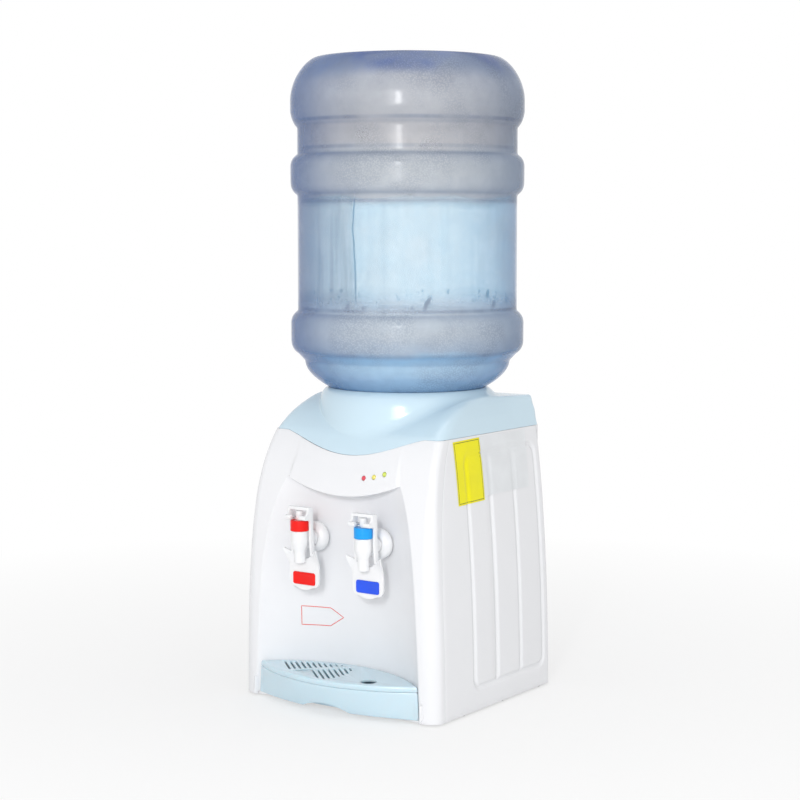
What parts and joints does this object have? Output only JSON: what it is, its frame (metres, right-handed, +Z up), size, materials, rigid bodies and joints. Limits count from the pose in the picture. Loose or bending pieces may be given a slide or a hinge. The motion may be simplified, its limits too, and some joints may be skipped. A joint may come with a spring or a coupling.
{
  "type": "countertop water dispenser",
  "caption": "Countertop hot and cold water dispenser with an inverted refill bottle, push-back taps in a bay, a pull-out drip tray and a rear cooling fan.",
  "frame": {"origin": "centre of the assembly's footprint, on the surface that the feet stand on", "axes": "+X to the user's right, +Y to the back, +Z up"},
  "size_m": [0.2716, 0.3114, 0.746],
  "materials": {
    "white_housing": "glossy",
    "pale_blue_cover": "glossy",
    "white_tap": "glossy",
    "grey_plastic": "matte",
    "red_plastic": "glossy",
    "azure_plastic": "glossy",
    "blue_plastic": "glossy",
    "yellow_lens": "glossy",
    "green_lens": "glossy",
    "clear_bottle": "glossy",
    "silicone": "matte",
    "black_rubber": "matte",
    "stainless": "satin",
    "cast_aluminium": "satin",
    "ceramic_plate": "matte",
    "circuit_board": "matte"
  },
  "bodies": {
    "housing": {"front_panel": "white_housing", "hot_lamp": "red_plastic", "power_lamp": "yellow_lens", "cold_lamp": "green_lens", "right_side_panel": "white_housing", "left_side_panel": "white_housing", "rear_panel": "white_housing", "top_cover": "pale_blue_cover", "bottle_seat": "pale_blue_cover", "base_pan": "white_tap", "cold_tank": "stainless", "hot_tank": "stainless", "heater_band": "ceramic_plate", "cold_tube": "silicone", "hot_tube": "silicone", "feed_tube": "silicone", "drain_tube": "silicone", "cold_block": "cast_aluminium", "peltier_module": "ceramic_plate", "heat_sink": "cast_aluminium", "fan_frame": "grey_plastic", "control_board": "circuit_board", "hot_switch_bezel": "grey_plastic", "cold_switch_bezel": "grey_plastic", "cord_gland": "grey_plastic", "drain_spout": "white_tap", "foot_front_left": "black_rubber", "foot_front_right": "black_rubber", "foot_middle_left": "black_rubber", "foot_middle_right": "black_rubber", "foot_rear_left": "black_rubber", "foot_rear_right": "black_rubber", "hot_tap_body": "white_tap", "hot_tap_flange": "white_tap", "hot_tap_nut": "white_tap", "hot_tap_cap": "red_plastic", "hot_tap_spring": "stainless", "cold_tap_body": "white_tap", "cold_tap_flange": "white_tap", "cold_tap_nut": "white_tap", "cold_tap_cap": "azure_plastic", "cold_tap_spring": "stainless"},
    "bottle": {"bottle": "clear_bottle", "bottle_cap": "blue_plastic"},
    "tray": {"drip_tray": "pale_blue_cover"},
    "grille": {"drip_grille": "pale_blue_cover"},
    "hot_lever": {"hot_tap_lever": "white_tap", "hot_lever_plate": "red_plastic", "hot_lever_pin": "stainless"},
    "cold_lever": {"cold_tap_lever": "white_tap", "cold_lever_plate": "blue_plastic", "cold_lever_pin": "stainless"},
    "hot_valve": {"hot_tap_stem": "white_tap", "hot_valve_plug": "silicone"},
    "cold_valve": {"cold_tap_stem": "white_tap", "cold_valve_plug": "silicone"},
    "fan": {"fan_rotor": "grey_plastic"},
    "hot_rocker": {"hot_switch_rocker": "red_plastic"},
    "cold_rocker": {"cold_switch_rocker": "green_lens"},
    "drain_cap": {"drain_cap": "white_tap"}
  },
  "joints": [
    {"name": "bottle_lift", "type": "slide", "parent": "housing", "child": "bottle", "axis": [0, 0, 1], "range_m": [0, 0.15]},
    {"name": "tray_slide", "type": "slide", "parent": "housing", "child": "tray", "axis": [0, -1, 0], "range_m": [0, 0.12]},
    {"name": "grille_lift", "type": "slide", "parent": "tray", "child": "grille", "axis": [0, -0.0506, 0.9987], "range_m": [0, 0.03]},
    {"name": "hot_lever_tilt", "type": "hinge", "parent": "housing", "child": "hot_lever", "pos_m": [-0.0444, -0.1343, 0.2166], "axis": [1, 0, 0], "range_deg": [0, 14], "stiffness_Nm_per_rad": 0.3},
    {"name": "cold_lever_tilt", "type": "hinge", "parent": "housing", "child": "cold_lever", "pos_m": [0.0444, -0.1343, 0.2166], "axis": [1, 0, 0], "range_deg": [0, 14], "stiffness_Nm_per_rad": 0.3},
    {"name": "hot_valve_lift", "type": "slide", "parent": "housing", "child": "hot_valve", "axis": [0, 0, 1], "range_m": [0, 0.0018], "deforming": ["hot_tap_spring"]},
    {"name": "cold_valve_lift", "type": "slide", "parent": "housing", "child": "cold_valve", "axis": [0, 0, 1], "range_m": [0, 0.0018], "deforming": ["cold_tap_spring"]},
    {"name": "fan_spin", "type": "hinge", "parent": "housing", "child": "fan", "pos_m": [0, 0.1155, 0.192], "axis": [0, 1, 0], "continuous": true},
    {"name": "hot_switch_rock", "type": "hinge", "parent": "housing", "child": "hot_rocker", "pos_m": [0.084, 0.1235, 0.06], "axis": [1, 0, 0], "range_deg": [0, 12]},
    {"name": "cold_switch_rock", "type": "hinge", "parent": "housing", "child": "cold_rocker", "pos_m": [0.057, 0.1235, 0.06], "axis": [1, 0, 0], "range_deg": [0, 12]},
    {"name": "drain_cap_off", "type": "slide", "parent": "housing", "child": "drain_cap", "axis": [0, 1, 0], "range_m": [0, 0.03]}
  ],
  "couplings": [
    {"joint": "hot_valve_lift", "follows": "hot_lever_tilt", "m_per_rad": 0.007},
    {"joint": "cold_valve_lift", "follows": "cold_lever_tilt", "m_per_rad": 0.007}
  ]
}
